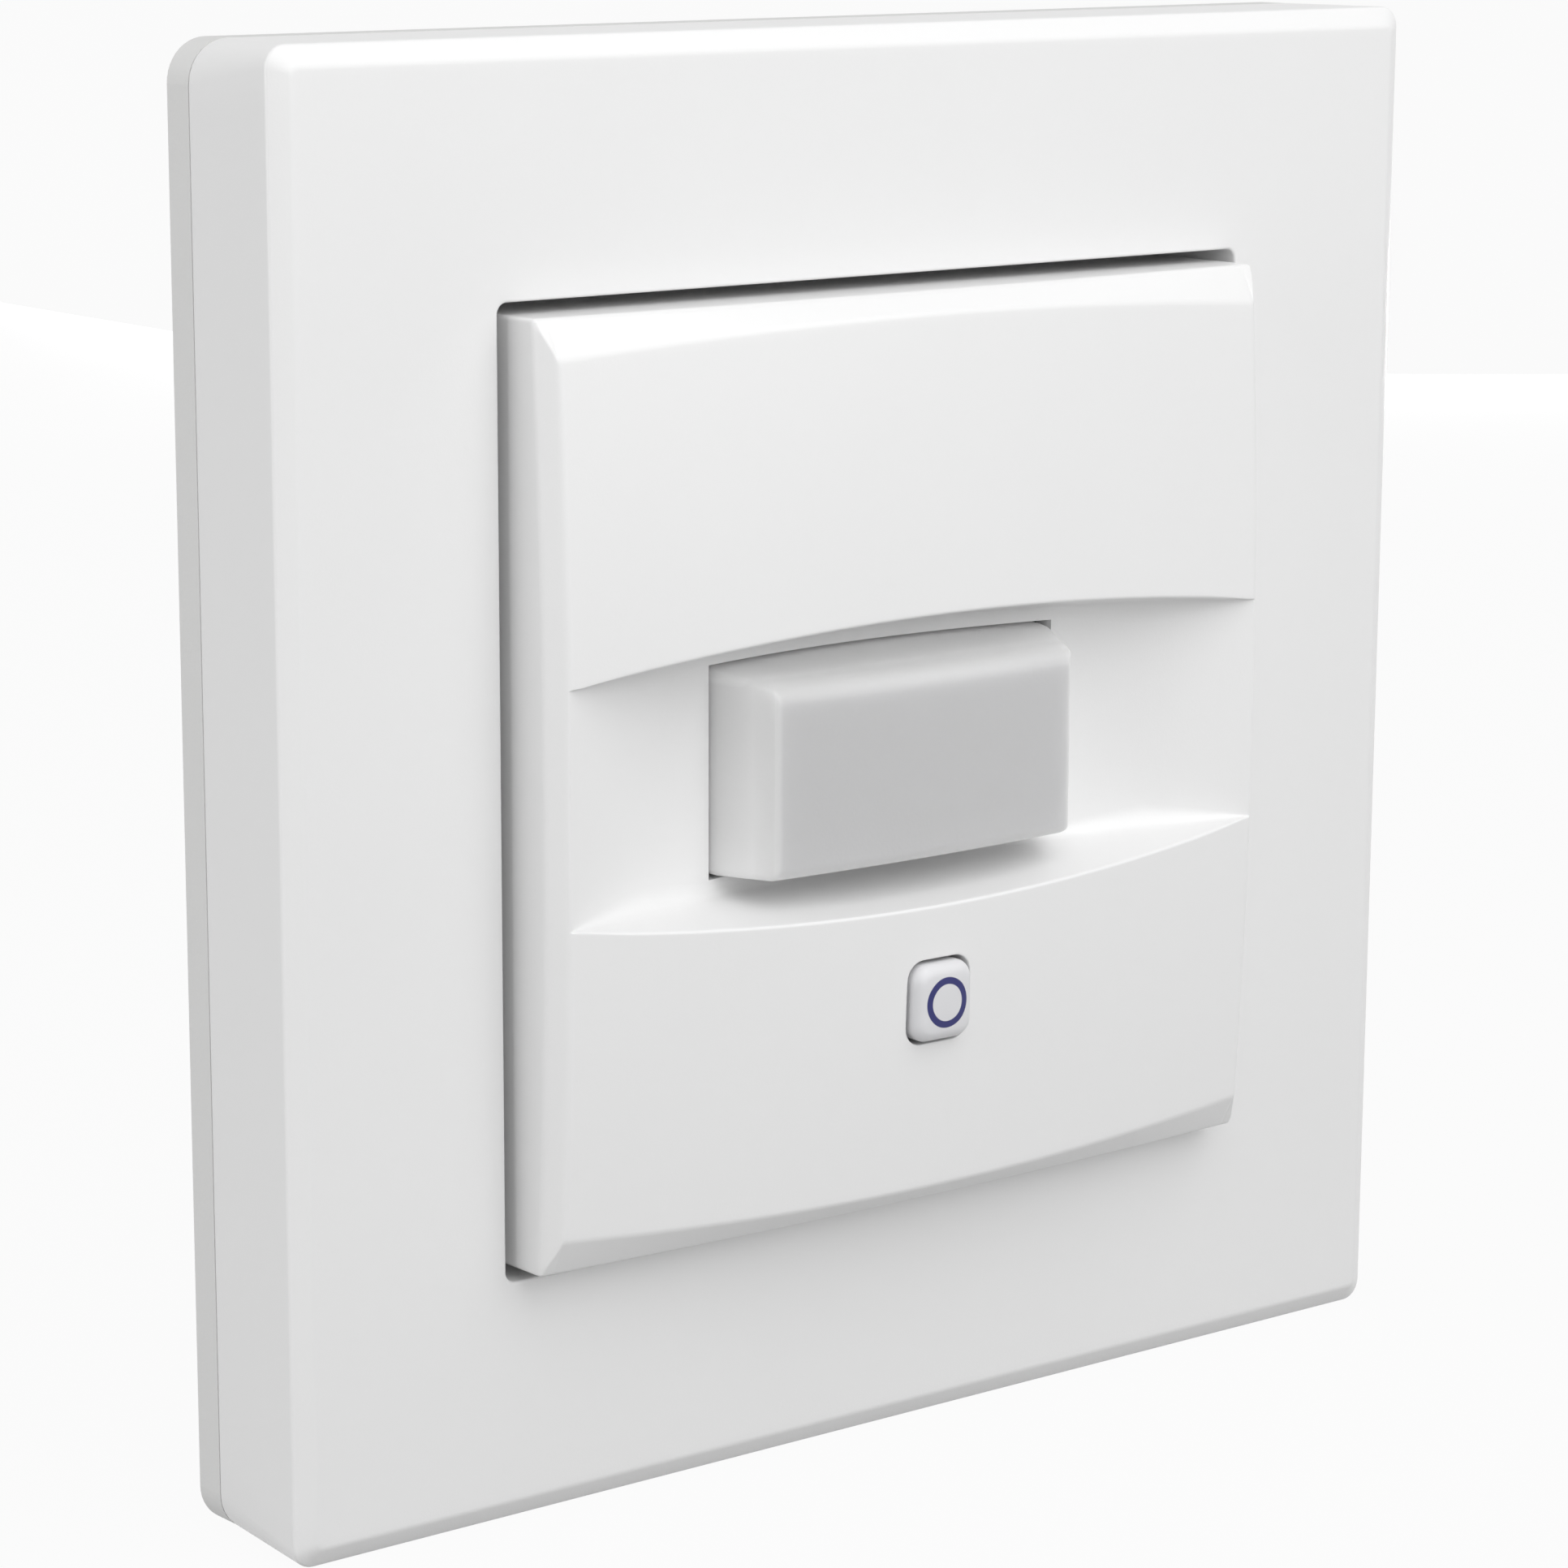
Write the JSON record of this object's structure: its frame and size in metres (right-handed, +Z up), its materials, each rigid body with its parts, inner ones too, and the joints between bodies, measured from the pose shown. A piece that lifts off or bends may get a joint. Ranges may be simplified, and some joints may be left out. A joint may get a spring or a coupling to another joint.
{
  "type": "wall-mounted motion-sensing switch",
  "caption": "Square surface-mounted wall switch: domed rocker plate in a bevelled frame, motion-sensor lens in an eye-shaped scoop and a small push-button.",
  "frame": {"origin": "centre of the four wall screws, in the plane of the wall", "axes": "+Y into the wall, the front faces -Y, +X to the right seen from the front, +Z up"},
  "size_m": [0.086, 0.0167, 0.086],
  "materials": {
    "plate_plastic": "moulded, fine matt",
    "frame_plastic": "moulded, satin white",
    "rocker_plastic": "moulded, satin white",
    "button_plastic": "moulded, translucent white",
    "chassis_plastic": "moulded, matt",
    "lens_plastic": "moulded polyethylene, frosted",
    "holder_plastic": "moulded, matt black",
    "cell_jacket": "printed sleeve, unmarked",
    "contact_metal": "nickel-plated",
    "board_laminate": "solder-masked laminate",
    "screw_steel": "zinc-plated",
    "dark_plastic": "moulded",
    "can_metal": "drawn",
    "window_filter": "polished filter",
    "stem_plastic": "moulded",
    "light_plastic": "clear resin"
  },
  "bodies": {
    "base": {"aerial": "contact_metal", "battery_lower": "cell_jacket", "battery_upper": "cell_jacket", "board_link": "dark_plastic", "board_screws": "screw_steel", "buffer_capacitor": "can_metal", "button_switch": "dark_plastic", "chassis": "chassis_plastic", "controller_chip": "dark_plastic", "frame": "frame_plastic", "lens": "lens_plastic", "lens_holder": "holder_plastic", "light_sensor": "light_plastic", "lower_switch": "dark_plastic", "main_board": "board_laminate", "minus_contacts": "contact_metal", "mounting_plate": "plate_plastic", "plus_contacts": "contact_metal", "pyro_sensor": "can_metal", "pyro_window": "window_filter", "radio_board": "board_laminate", "radio_shield": "can_metal", "sensor_board": "board_laminate", "sensor_spacer": "dark_plastic", "status_light": "light_plastic", "upper_switch": "dark_plastic"},
    "rocker": {"rocker_plate": "rocker_plastic"},
    "button": {"push_button": "button_plastic"},
    "upper_stem_body": {"upper_stem": "stem_plastic"},
    "lower_stem_body": {"lower_stem": "stem_plastic"},
    "button_stem_body": {"button_stem": "stem_plastic"}
  },
  "joints": [
    {"name": "rocker_tilt", "type": "hinge", "parent": "base", "child": "rocker", "pos_m": [0, -0.0068, 0], "axis": [-1, 0, 0], "range_deg": [-1.5, 1.5], "stiffness_Nm_per_rad": 2},
    {"name": "button_press", "type": "slide", "parent": "rocker", "child": "button", "axis": [0, 1, 0], "range_m": [0, 0.0005], "stiffness_N_per_m": 1500},
    {"name": "upper_stem_slide", "type": "slide", "parent": "base", "child": "upper_stem_body", "axis": [0, 1, 0], "range_m": [-0.00056, 0.00056]},
    {"name": "lower_stem_slide", "type": "slide", "parent": "base", "child": "lower_stem_body", "axis": [0, 1, 0], "range_m": [-0.00056, 0.00056]},
    {"name": "button_stem_slide", "type": "slide", "parent": "base", "child": "button_stem_body", "axis": [0, 1, 0], "range_m": [0, 0.00036]}
  ],
  "couplings": [
    {"joint": "upper_stem_slide", "follows": "rocker_tilt", "m_per_rad": 0.0206},
    {"joint": "lower_stem_slide", "follows": "rocker_tilt", "m_per_rad": -0.0206},
    {"joint": "button_stem_slide", "follows": "button_press", "ratio": 0.71}
  ]
}
